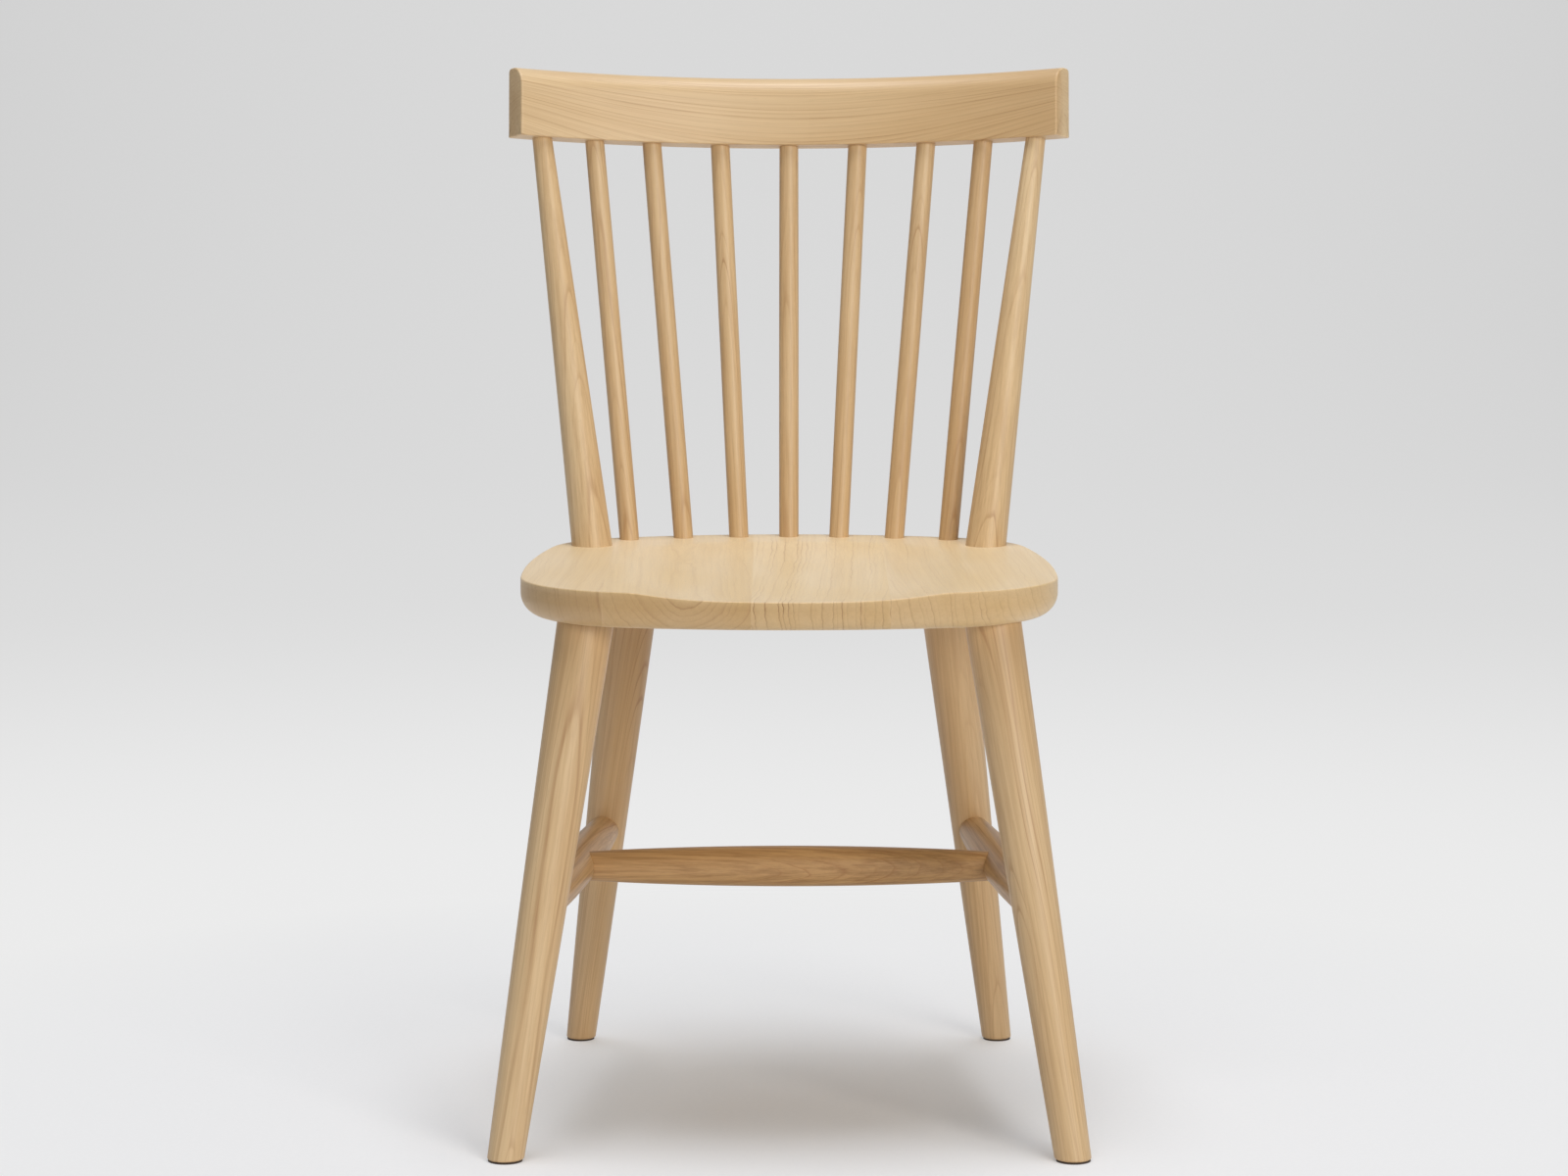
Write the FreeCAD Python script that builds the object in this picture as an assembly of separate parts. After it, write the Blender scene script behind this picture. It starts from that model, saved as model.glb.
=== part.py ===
import FreeCAD, Part
import math
import os

# A windsor dining chair in pale hardwood: a saddled plank seat, four splayed
# turned legs tied by an H stretcher, and a back of spindles and conical posts
# under a bent crest rail. All sizes are in millimetres.
# X runs to the right, Y to the back of the chair and Z up. The chair is drawn
# about the middle of its seat and moved onto its own footprint at the end.

# Seat plank
seat_height = 450.0
seat_thickness = 30.5
seat_width = 434.0
seat_depth = 403.0
seat_widest_from_front = 140.0
seat_side_radius = 900.0
seat_front_radius = 600.0
seat_back_radius = 450.0
seat_front_corner_radius = 105.0
seat_back_corner_radius = 90.0
seat_underside_roll = 18.0

# Scoop of the seat, which runs out through the front edge
dish_depth = 10.0
dish_depth_at_front = 6.0
dish_width_at_front = 236.0
dish_deepest_from_front = 210.0
dish_back_margin = 55.0
dish_roundness = 3.0

# Glue joints between the four boards of the seat, measured from the centre line
board_joint_left = -148.0
board_joint_middle = -30.0
board_joint_right = 80.0

# Legs, from the underside of the seat to the floor
front_leg_top_spread = 325.0
front_leg_top_from_front = 72.0
front_foot_spread = 450.0
front_foot_rake = 87.0
front_leg_top_diameter = 45.4
front_foot_diameter = 29.0
rear_leg_top_spread = 262.0
rear_leg_top_from_back = 71.0
rear_foot_spread = 366.0
rear_foot_rake = 97.0
rear_leg_top_diameter = 43.8
rear_foot_diameter = 25.2
leg_tenon_diameter = 28.0
leg_tenon_length = 20.0

# Pads under the feet
glide_thickness = 1.5
glide_inset = 0.8

# Stretchers
stretcher_height = 196.0
side_stretcher_middle_diameter = 33.4
side_stretcher_end_diameter = 25.0
cross_stretcher_middle_diameter = 33.2
cross_stretcher_end_diameter = 24.4
stretcher_tenon_diameter = 16.0
side_tenon_past_axis = 5.0
cross_tenon_past_axis = 4.0

# Back: seven spindles and two conical posts
back_lean = 10.6
back_height = 331.5
spindle_inset = 15.0
first_spindle_at_seat = 43.0
second_spindle_at_seat = 90.5
third_spindle_at_seat = 136.5
first_spindle_at_rail = 59.3
second_spindle_at_rail = 118.0
third_spindle_at_rail = 166.7
spindle_diameter = 16.6
spindle_tenon_diameter = 12.0
spindle_tenon_length = 18.0
post_spread_at_seat = 334.0
post_from_back = 78.0
post_spread_at_rail = 421.6
post_seat_diameter = 34.2
post_rail_diameter = 16.8
post_seat_tenon_diameter = 20.0
post_seat_tenon_length = 20.0
post_rail_tenon_diameter = 12.0

# Crest rail
rail_chord = 467.0
rail_bow = 61.5
rail_height = 59.5
rail_thickness = 25.0
rail_front_roll = 17.0
rail_back_roll = 4.0
rail_tenon_length = 25.0

# Fits: glue line round each tenon, and the air left at the bottom of a socket
glue_line = 0.2
socket_end_room = 1.0

# Places worked out from the sizes above
seat_underside = seat_height - seat_thickness
seat_front = -seat_depth / 2
seat_back = seat_depth / 2
front_leg_top_y = seat_front + front_leg_top_from_front
rear_leg_top_y = seat_back - rear_leg_top_from_back
post_y = seat_back - post_from_back
lean = math.radians(back_lean)
rail_radius = (rail_chord ** 2 / 4 + rail_bow ** 2) / (2 * rail_bow)
spindle_row_y = seat_back - spindle_inset
rail_origin = FreeCAD.Vector(0, spindle_row_y + back_height * math.tan(lean), seat_height + back_height)


def turned(start, end, radii):
    """A bar turned on a lathe: its radii at even steps from start to end, joined by straight tapers."""
    length = (end - start).Length
    points = [FreeCAD.Vector(0, 0, 0)]
    for step, radius in enumerate(radii):
        points.append(FreeCAD.Vector(radius, 0, length * step / (len(radii) - 1)))
    points += [FreeCAD.Vector(0, 0, length), points[0]]
    bar = Part.Face(Part.makePolygon(points)).revolve(points[0], FreeCAD.Vector(0, 0, 1), 360)
    bar.Placement = FreeCAD.Placement(start, FreeCAD.Rotation(FreeCAD.Vector(0, 0, 1), end - start))
    return bar


def barrel(start, end, end_diameter, middle_diameter, grow):
    """A turned bar, straight along its middle third and tapered to both ends, stouter by grow."""
    diameters = [end_diameter, middle_diameter, middle_diameter, end_diameter]
    return turned(start, end, [diameter / 2 + grow for diameter in diameters])


def rod(start, end, diameter):
    """A plain round rod from start to end."""
    return Part.makeCylinder(diameter / 2, (end - start).Length, start, end - start)


def along(start, end, distance):
    """The point at this distance from start, on the line to end and beyond it."""
    step = FreeCAD.Vector(end - start)
    step.normalize()
    return start + step * distance


def block(low, high):
    """A square block between two opposite corners."""
    size = high - low
    return Part.makeBox(size.x, size.y, size.z, low)


def largest(shape):
    """The main body that is left after a cut."""
    return max(shape.Solids, key=lambda solid: solid.Volume)


def mirrored(shape):
    """The same piece on the other side of the chair."""
    return shape.mirror(FreeCAD.Vector(0, 0, 0), FreeCAD.Vector(1, 0, 0))


# Seat outline: three long arcs for the side, front and back, joined by rounded corners
def corner_centre(centre_a, radius_a, centre_b, radius_b, corner_radius, forward):
    """Where a corner arc is centred so that it runs smoothly into two longer arcs."""
    apart = centre_b - centre_a
    reach_a = radius_a - corner_radius
    reach_b = radius_b - corner_radius
    foot = (apart.Length ** 2 + reach_a ** 2 - reach_b ** 2) / (2 * apart.Length)
    rise = math.sqrt(reach_a ** 2 - foot ** 2)
    step = FreeCAD.Vector(apart)
    step.normalize()
    across = FreeCAD.Vector(-step.y, step.x, 0) * rise
    return centre_a + step * foot + across * forward


def arc_about(centre, radius, start, end):
    """The short arc from start to end about a centre."""
    middle = along(centre, (start + end) * 0.5, radius)
    return Part.Arc(start, middle, end).toShape()


def seat_outline():
    """The closed outline of the seat, at the height of its underside."""
    widest = seat_front + seat_widest_from_front
    side = FreeCAD.Vector(seat_width / 2 - seat_side_radius, widest, 0)
    front = FreeCAD.Vector(0, seat_front + seat_front_radius, 0)
    back = FreeCAD.Vector(0, seat_back - seat_back_radius, 0)
    front_corner = corner_centre(side, seat_side_radius, front, seat_front_radius,
                                 seat_front_corner_radius, -1)
    back_corner = corner_centre(side, seat_side_radius, back, seat_back_radius,
                                seat_back_corner_radius, 1)
    front_point = FreeCAD.Vector(0, seat_front, 0)
    back_point = FreeCAD.Vector(0, seat_back, 0)
    front_a = along(front, front_corner, seat_front_radius)
    front_b = along(side, front_corner, seat_side_radius)
    back_a = along(side, back_corner, seat_side_radius)
    back_b = along(back, back_corner, seat_back_radius)
    right = [
        arc_about(front, seat_front_radius, front_point, front_a),
        arc_about(front_corner, seat_front_corner_radius, front_a, front_b),
        arc_about(side, seat_side_radius, front_b, back_a),
        arc_about(back_corner, seat_back_corner_radius, back_a, back_b),
        arc_about(back, seat_back_radius, back_b, back_point),
    ]
    left = [mirrored(edge) for edge in right]
    outline = Part.Wire(Part.sortEdges(right + left)[0])
    outline.translate(FreeCAD.Vector(0, 0, seat_underside))
    return outline


def seat_plank():
    """The seat before it is hollowed: straight edges that roll under all round."""
    plank = Part.Face(seat_outline()).extrude(FreeCAD.Vector(0, 0, seat_thickness))
    lower = [edge for edge in plank.Edges if edge.BoundBox.ZMax < seat_underside + 0.1]
    return plank.makeFillet(seat_underside_roll, lower)


def dish_tool():
    """What the hollowing takes away. The scoop is deepest at one point and rises with
    the cube of the distance from it: sideways, to the back, and more slowly to the front."""
    deepest_y = seat_front + dish_deepest_from_front
    share = dish_depth_at_front / dish_depth
    side_reach = dish_width_at_front / 2 / share ** (1 / dish_roundness)
    front_reach = dish_deepest_from_front / (1 - share) ** (1 / dish_roundness)
    back_reach = seat_back - dish_back_margin - deepest_y
    overrun = 12.0
    steps = 12
    first_y = seat_front - overrun
    last_y = seat_back - dish_back_margin + overrun
    half = side_reach + overrun
    rows = []
    for i in range(steps + 1):
        x = -half + 2 * half * i / steps
        row = []
        for j in range(steps + 1):
            y = first_y + (last_y - first_y) * j / steps
            reach = front_reach if y < deepest_y else back_reach
            rise = abs(x / side_reach) ** dish_roundness + abs((y - deepest_y) / reach) ** dish_roundness
            row.append(FreeCAD.Vector(x, y, seat_height - dish_depth * (1 - rise)))
        rows.append(row)
    surface = Part.BSplineSurface()
    surface.interpolate(rows)
    return surface.toShape().extrude(FreeCAD.Vector(0, 0, 3 * seat_thickness))


# Legs
def leg_axis(foot_spread, foot_y, top_spread, top_y):
    """The two ends of a leg's centre line on the right: on the floor and under the seat."""
    return FreeCAD.Vector(foot_spread / 2, foot_y, 0), FreeCAD.Vector(top_spread / 2, top_y, seat_underside)


front_axis = leg_axis(front_foot_spread, front_leg_top_y - front_foot_rake,
                      front_leg_top_spread, front_leg_top_y)
rear_axis = leg_axis(rear_foot_spread, rear_leg_top_y + rear_foot_rake,
                     rear_leg_top_spread, rear_leg_top_y)


def leg_stick(axis, foot_diameter, top_diameter, grow):
    """The turned leg, left long at both ends, and made stouter all round by grow."""
    foot, top = axis
    length = (top - foot).Length
    below = foot_diameter / 2
    above = seat_underside_roll
    slope = (top_diameter - foot_diameter) / 2 / length
    start_radius = foot_diameter / 2 - slope * below + grow
    end_radius = top_diameter / 2 + slope * above + grow
    return turned(along(foot, top, -below), along(foot, top, length + above), [start_radius, end_radius])


def point_at_height(axis, height):
    """The point of a leg's centre line at this height above the floor."""
    foot, top = axis
    return foot + (top - foot) * (height / top.z)


side_front = point_at_height(front_axis, stretcher_height)
side_rear = point_at_height(rear_axis, stretcher_height)
cross_right = (side_front + side_rear) * 0.5
cross_left = FreeCAD.Vector(-cross_right.x, cross_right.y, cross_right.z)


def leg(axis, foot_diameter, top_diameter, stretcher_end, stretcher_far_end, plank):
    """One leg on the right: foot sawn level, head fitted to the seat, a tenon above."""
    foot, top = axis
    length = (top - foot).Length
    stick = leg_stick(axis, foot_diameter, top_diameter, 0)
    reach = foot_diameter + length
    floor = block(FreeCAD.Vector(-reach, -reach, -reach), FreeCAD.Vector(reach, reach, glide_thickness))
    stick = largest(stick.cut(floor).cut(plank))
    tenon = rod(along(foot, top, length - seat_thickness), along(foot, top, length + leg_tenon_length),
                leg_tenon_diameter)
    socket_end = along(stretcher_end, stretcher_far_end, -side_tenon_past_axis - socket_end_room)
    socket = rod(socket_end, along(stretcher_end, stretcher_far_end, top_diameter),
                 stretcher_tenon_diameter + 2 * glue_line)
    return stick.fuse(tenon).cut(socket)


def leg_socket(axis):
    """The blind hole in the seat for the tenon of a leg."""
    foot, top = axis
    length = (top - foot).Length
    return rod(along(foot, top, length - leg_tenon_length),
               along(foot, top, length + leg_tenon_length + socket_end_room),
               leg_tenon_diameter + 2 * glue_line)


def glide(axis, foot_diameter):
    """The thin round pad under one foot."""
    foot = axis[0]
    return Part.makeCylinder(foot_diameter / 2 - glide_inset, glide_thickness, foot)


# Stretchers
def end_tenons(start, end, past_axis):
    """The round tenons at both ends of a stretcher, which pass the middle of what they enter."""
    root = 2 * side_stretcher_middle_diameter
    return [rod(along(start, end, -past_axis), along(start, end, root), stretcher_tenon_diameter),
            rod(along(end, start, -past_axis), along(end, start, root), stretcher_tenon_diameter)]


def side_stretcher():
    """The right side stretcher: a stout barrel, hollowed at its ends to fit the two legs."""
    bar = barrel(side_front, side_rear, side_stretcher_end_diameter, side_stretcher_middle_diameter, 0)
    for axis, foot_diameter, top_diameter in (
            (front_axis, front_foot_diameter, front_leg_top_diameter),
            (rear_axis, rear_foot_diameter, rear_leg_top_diameter)):
        bar = largest(bar.cut(leg_stick(axis, foot_diameter, top_diameter, glue_line)))
    tenons = end_tenons(side_front, side_rear, side_tenon_past_axis)
    socket = rod(along(cross_right, cross_left, -cross_tenon_past_axis - socket_end_room),
                 along(cross_right, cross_left, side_stretcher_middle_diameter),
                 stretcher_tenon_diameter + 2 * glue_line)
    return bar.fuse(tenons).cut(socket)


def cross_stretcher():
    """The stretcher across the chair, its ends hollowed to sit on the side stretchers."""
    bar = barrel(cross_left, cross_right, cross_stretcher_end_diameter, cross_stretcher_middle_diameter, 0)
    mate = barrel(side_front, side_rear, side_stretcher_end_diameter, side_stretcher_middle_diameter,
                  glue_line)
    bar = largest(bar.cut(mate))
    bar = largest(bar.cut(mirrored(mate)))
    tenons = end_tenons(cross_left, cross_right, cross_tenon_past_axis)
    return bar.fuse(tenons)


# Back
def rail_place(shape):
    """Tips a shape drawn level, with the rail's underside at the origin, back into its place."""
    shape.rotate(FreeCAD.Vector(0, 0, 0), FreeCAD.Vector(1, 0, 0), -back_lean)
    shape.translate(rail_origin)
    return shape


def rail_point(x):
    """The point in the middle of the rail's underside, this far to the right."""
    bow = rail_radius - math.sqrt(rail_radius ** 2 - x ** 2)
    return rail_origin + FreeCAD.Vector(x, -bow * math.cos(lean), bow * math.sin(lean))


def seat_point(x):
    """A point on the seat's top, this far to the right and a steady way in from its back edge."""
    reach = seat_back_radius - spindle_inset
    return FreeCAD.Vector(x, seat_back - seat_back_radius + math.sqrt(reach ** 2 - x ** 2), seat_height)


def crest_rail():
    """The bent rail: its section swung about the centre of the bend, then leaned back."""
    inner = rail_radius - rail_thickness / 2
    outer = rail_radius + rail_thickness / 2
    half_turn = 1 - math.sqrt(0.5)

    def at(y, z):
        return FreeCAD.Vector(0, y, z)

    def rounded(corner_y, corner_z, radius, side, up):
        """The quarter round at one corner of the section, and its two ends."""
        along_face = at(corner_y, corner_z - up * radius)
        on_edge = at(corner_y - side * radius, corner_z)
        middle = at(corner_y - side * radius * half_turn, corner_z - up * radius * half_turn)
        return along_face, middle, on_edge

    front_top = rounded(inner, rail_height, rail_front_roll, -1, 1)
    back_top = rounded(outer, rail_height, rail_back_roll, 1, 1)
    lines = [
        Part.Arc(*front_top),
        Part.LineSegment(front_top[2], back_top[2]),
        Part.Arc(*back_top),
        Part.LineSegment(back_top[0], at(outer, 0)),
        Part.LineSegment(at(outer, 0), at(inner, 0)),
        Part.LineSegment(at(inner, 0), front_top[0]),
    ]
    section = Part.Face(Part.Wire(Part.sortEdges([line.toShape() for line in lines])[0]))
    half_angle = math.degrees(math.asin(rail_chord / 2 / rail_radius))
    section.rotate(FreeCAD.Vector(0, 0, 0), FreeCAD.Vector(0, 0, 1), -half_angle)
    rail = section.revolve(FreeCAD.Vector(0, 0, 0), FreeCAD.Vector(0, 0, 1), 2 * half_angle)
    rail.translate(FreeCAD.Vector(0, -rail_radius, 0))
    return rail_place(rail)


def between_seat_and_rail(bar):
    """Trims an upright flat on the seat and flat under the leaning rail."""
    reach = seat_width + seat_depth
    below = block(FreeCAD.Vector(-reach, -reach, 0), FreeCAD.Vector(reach, reach, seat_height))
    above = block(FreeCAD.Vector(-reach, -reach, 0), FreeCAD.Vector(reach, reach, rail_height))
    return largest(bar.cut(below).cut(rail_place(above)))


def upright(low, high, low_diameter, high_diameter, seat_tenon, rail_tenon, seat_tenon_length):
    """A spindle or post with its shoulders and its two tenons."""
    spare = low_diameter / 2
    length = (high - low).Length
    slope = (high_diameter - low_diameter) / 2 / length
    stick = turned(along(low, high, -spare), along(low, high, length + spare),
                   [low_diameter / 2 - slope * spare, high_diameter / 2 + slope * spare])
    stick = between_seat_and_rail(stick)
    foot_tenon = rod(along(low, high, -seat_tenon_length), along(low, high, low_diameter), seat_tenon)
    head_tenon = rod(along(low, high, length - low_diameter),
                     along(low, high, length + rail_tenon_length), rail_tenon)
    return stick.fuse(foot_tenon).fuse(head_tenon)


def upright_sockets(low, high, seat_tenon, rail_tenon, seat_tenon_length):
    """The blind holes of one upright, in the seat and in the rail."""
    length = (high - low).Length
    in_seat = rod(along(low, high, -seat_tenon_length - socket_end_room),
                  along(low, high, seat_tenon_length), seat_tenon + 2 * glue_line)
    in_rail = rod(along(low, high, length - rail_tenon_length),
                  along(low, high, length + rail_tenon_length + socket_end_room), rail_tenon + 2 * glue_line)
    return in_seat, in_rail


# Fit the pieces together
pieces = {}
seat_holes = []
rail_holes = []

spindles_at_seat = [first_spindle_at_seat, second_spindle_at_seat, third_spindle_at_seat]
spindles_at_rail = [first_spindle_at_rail, second_spindle_at_rail, third_spindle_at_rail]
spindle_feet = [-x for x in reversed(spindles_at_seat)] + [0.0] + spindles_at_seat
spindle_heads = [-x for x in reversed(spindles_at_rail)] + [0.0] + spindles_at_rail
for number, (foot_x, head_x) in enumerate(zip(spindle_feet, spindle_heads), start=1):
    low = seat_point(foot_x)
    high = rail_point(head_x)
    pieces["spindle_%d" % number] = upright(
        low, high, spindle_diameter, spindle_diameter,
        spindle_tenon_diameter, spindle_tenon_diameter, spindle_tenon_length)
    in_seat, in_rail = upright_sockets(low, high, spindle_tenon_diameter, spindle_tenon_diameter,
                                       spindle_tenon_length)
    seat_holes.append(in_seat)
    rail_holes.append(in_rail)

for side_name, side in (("left", -1), ("right", 1)):
    low = FreeCAD.Vector(side * post_spread_at_seat / 2, post_y, seat_height)
    high = rail_point(side * post_spread_at_rail / 2)
    pieces["back_post_" + side_name] = upright(
        low, high, post_seat_diameter, post_rail_diameter,
        post_seat_tenon_diameter, post_rail_tenon_diameter, post_seat_tenon_length)
    in_seat, in_rail = upright_sockets(low, high, post_seat_tenon_diameter, post_rail_tenon_diameter,
                                       post_seat_tenon_length)
    seat_holes.append(in_seat)
    rail_holes.append(in_rail)

for axis in (front_axis, rear_axis):
    hole = leg_socket(axis)
    seat_holes += [hole, mirrored(hole)]

plank = seat_plank()
seat = plank.cut(dish_tool()).cut(seat_holes)
board_edges = [-seat_width, board_joint_left, board_joint_middle, board_joint_right, seat_width]
board_names = ["seat_board_outer_left", "seat_board_inner_left", "seat_board_middle", "seat_board_right"]
for name, left_edge, right_edge in zip(board_names, board_edges, board_edges[1:]):
    board = block(FreeCAD.Vector(left_edge, -seat_depth, 0), FreeCAD.Vector(right_edge, seat_depth, 2 * seat_height))
    pieces[name] = largest(seat.common(board))

pieces["crest_rail"] = largest(crest_rail().cut(rail_holes))

front_leg = leg(front_axis, front_foot_diameter, front_leg_top_diameter, side_front, side_rear, plank)
rear_leg = leg(rear_axis, rear_foot_diameter, rear_leg_top_diameter, side_rear, side_front, plank)
paired = {
    "front_leg": front_leg,
    "rear_leg": rear_leg,
    "side_stretcher": side_stretcher(),
    "front_foot_glide": glide(front_axis, front_foot_diameter),
    "rear_foot_glide": glide(rear_axis, rear_foot_diameter),
}
for name, shape in paired.items():
    pieces[name + "_right"] = shape
    pieces[name + "_left"] = mirrored(shape)
pieces["cross_stretcher"] = cross_stretcher()

# Stand the chair on the middle of its own footprint, and write one file per piece
chair = Part.makeCompound(list(pieces.values()))
box = chair.optimalBoundingBox()
onto_footprint = FreeCAD.Vector(-(box.XMin + box.XMax) / 2, -(box.YMin + box.YMax) / 2, -box.ZMin)
os.makedirs("parts", exist_ok=True)
for name, shape in pieces.items():
    shape.translate(onto_footprint)
    shape.exportStep("parts/" + name + ".step")

print("chair is %.1f wide, %.1f deep, %.1f high" % (box.XLength, box.YLength, box.ZLength))
print("moved by %.2f along Y" % onto_footprint.y)
for name, shape in pieces.items():
    print("%-24s solids %d  valid %s  volume %.1f cm3" % (
        name, len(shape.Solids), shape.isValid(), shape.Volume / 1000))
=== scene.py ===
# %% [markdown]
# # A windsor chair in pale maple
# This file dresses the CAD model of a windsor chair for a photograph. Each cell
# makes one piece or one finish, and the words before it say what that is on the
# real chair and why it is made the way it is. The CAD model is the frame: every
# piece made here stands where the solid that it replaces stands.

# %% Load the frame
import bpy
import bmesh
import math
import numpy as np
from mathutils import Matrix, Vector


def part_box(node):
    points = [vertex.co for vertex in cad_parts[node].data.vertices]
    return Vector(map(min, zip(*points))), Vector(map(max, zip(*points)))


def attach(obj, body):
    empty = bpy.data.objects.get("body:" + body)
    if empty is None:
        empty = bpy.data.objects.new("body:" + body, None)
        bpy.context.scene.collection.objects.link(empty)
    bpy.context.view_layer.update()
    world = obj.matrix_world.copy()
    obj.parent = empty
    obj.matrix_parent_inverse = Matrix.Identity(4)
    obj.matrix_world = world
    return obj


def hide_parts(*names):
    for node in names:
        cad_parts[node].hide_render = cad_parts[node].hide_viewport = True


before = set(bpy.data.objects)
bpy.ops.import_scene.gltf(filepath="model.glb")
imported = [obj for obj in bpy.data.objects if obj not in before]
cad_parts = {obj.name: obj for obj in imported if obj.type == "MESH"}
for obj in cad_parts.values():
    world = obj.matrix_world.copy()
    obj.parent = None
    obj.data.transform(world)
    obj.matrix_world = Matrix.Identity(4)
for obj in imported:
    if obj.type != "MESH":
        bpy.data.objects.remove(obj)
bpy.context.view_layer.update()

# %% [markdown]
# ## The camera
# The photograph was taken from about four metres with a long lens, a little
# above the seat and looking slightly down. A long lens keeps the legs nearly
# parallel. The numbers come from fitting a camera to the chair's outline.

# %% Camera
camera_place = (-0.0042, -4.1052, 0.95914)
camera_tilt_down = 0.1290
lens_mm = 114.78
sensor_mm = 36.0


def show(name, data):
    """Puts an object with this data in the scene."""
    thing = bpy.data.objects.new(name, data)
    bpy.context.scene.collection.objects.link(thing)
    return thing


camera_data = bpy.data.cameras.new("photo_camera")
camera_data.lens = lens_mm
camera_data.sensor_width = sensor_mm
camera_data.clip_end = 40.0
camera = show("photo_camera", camera_data)
camera.location = camera_place
camera.rotation_euler = (math.pi / 2 - camera_tilt_down, 0.0, 0.0)
bpy.context.scene.camera = camera
print("camera at", camera_place, "with a lens of", lens_mm, "mm")

# %% [markdown]
# ## From drawing to frame
# Chair makers draw a windsor about the middle of its seat, in millimetres. The
# frame is in metres, about the middle of the footprint. The two differ by one
# step along Y, which is read from the CAD seat, so nothing is fitted by eye.

# %% Seat sizes and the step along Y
SEAT_HEIGHT, SEAT_THICKNESS, SEAT_WIDTH, SEAT_DEPTH = 450.0, 30.5, 434.0, 403.0
UNDERSIDE = SEAT_HEIGHT - SEAT_THICKNESS
ROLL = 18.0
MM = 0.001
SEAT_FRONT, SEAT_BACK = -SEAT_DEPTH / 2, SEAT_DEPTH / 2
step_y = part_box("seat_board_middle")[0][1] / MM - SEAT_FRONT


def to_frame(points):
    """Points in mm about the seat's middle, turned to metres in the frame: add the step, then
    multiply by 0.001."""
    return (np.asarray(points, float) + [0.0, step_y, 0.0]) * MM


def from_frame(points):
    """The same step back: metres in the frame to mm about the seat's middle."""
    return np.asarray(points, float) / MM - [0.0, step_y, 0.0]


def unit(vector):
    """A vector divided by its own length."""
    return np.asarray(vector, float) / np.linalg.norm(vector)


print("step along Y: %.2f mm" % step_y)

# %% [markdown]
# ## Rings into a closed mesh
# Almost every piece of this chair is a stack of closed rings: a stick has rings
# round its axis, the seat has rings round its outline, and the rail has rings
# round its section. One function turns such a stack into a mesh, with a fan of
# triangles to the middle of the first ring and of the last one, so that it is
# closed like the real solid piece.

# %% A stack of rings becomes an object


def stack_faces(row_count, column_count):
    """Faces of a stack: quads between neighbouring rings, and a fan at each end. Points run ring by
    ring, then the two end points."""
    row, column = np.meshgrid(np.arange(row_count - 1), np.arange(column_count), indexing="ij")
    following = (column + 1) % column_count
    a, b = row * column_count + column, row * column_count + following
    quads = np.stack([a, b, b + column_count, a + column_count], axis=-1).reshape(-1, 4)
    around, onward = column[0], following[0]
    first, top = row_count * column_count, (row_count - 1) * column_count
    fan_low = np.stack([onward, around, np.full_like(around, first)], axis=-1)
    fan_high = np.stack([top + around, top + onward, np.full_like(around, first + 1)], axis=-1)
    return quads.tolist() + fan_low.tolist() + fan_high.tolist()


def face_outwards(mesh):
    """Turns every face to point out of its closed piece."""
    shell = bmesh.new()
    shell.from_mesh(mesh)
    bmesh.ops.remove_doubles(shell, verts=shell.verts, dist=1e-7)
    bmesh.ops.recalc_face_normals(shell, faces=shell.faces)
    shell.to_mesh(mesh)
    shell.free()


def stack_mesh(name, rings):
    """rings has the shape (ring, place round it, xyz), in mm. The end points are the means of the
    first and last ring."""
    rings = np.asarray(rings, float)
    ends = [rings[:1].mean(axis=1), rings[-1:].mean(axis=1)]
    points = np.concatenate([rings.reshape(-1, 3), *ends])
    mesh = bpy.data.meshes.new(name)
    mesh.from_pydata(to_frame(points).tolist(), [], stack_faces(*rings.shape[:2]))
    face_outwards(mesh)
    return mesh


print("a ring stack of 3 rings by 4 has", len(stack_faces(3, 4)), "faces")

# %% [markdown]
# ## The grain of each piece
# Wood is a solid: its growth rings are long tubes round the middle of the tree,
# and a piece shows whatever its cuts meet. So each piece carries one attribute,
# "grain", with its place in its own tree in millimetres: two distances across
# from the tree's middle, and one along it. A second attribute, "end_cut", says
# how squarely the surface crosses the fibres, because cut ends are darker and
# show their rings more. A third, "tone", runs from 0 for pale sapwood to 1 for
# warm wood from nearer the heart. On some pieces it also carries painted shade,
# darker and browner where the seat and the other parts shade the wood: on the
# stretchers, the rear legs, the heads of the legs, the sides and underside of
# the seat, the rail's left end and the last spindle. The rail's right end, which
# faces the front lamp, is painted pale as painted light. A fourth, "figure",
# says how strongly the years show: no two sticks of a chair look quite the same.
# The grain of the bent rail follows the bend.

# %% Grain attributes and finishing a piece
SHARP_ANGLE = math.radians(32)


def straight_grain(along, up, heart, start):
    """Grain of a straight piece. along and up are directions on the piece, heart is the place of
    the tree's middle as (across, up) in mm, and start is how far up the tree the piece grew."""
    along = unit(along)
    across = unit(np.cross(up, along))
    upward = np.cross(along, across)

    def grain(points):
        from_heart = [points @ across - heart[0], points @ upward - heart[1]]
        return np.stack([*from_heart, points @ along + start], axis=1)

    def fibre(points):
        return np.broadcast_to(along, points.shape)

    return grain, fibre


def open_edges(mesh):
    """How many edges belong to one face only; a closed piece has none."""
    uses = np.zeros(len(mesh.edges), int)
    loops = np.empty(len(mesh.loops), int)
    mesh.loops.foreach_get("edge_index", loops)
    np.add.at(uses, loops, 1)
    return int((uses != 2).sum())


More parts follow.
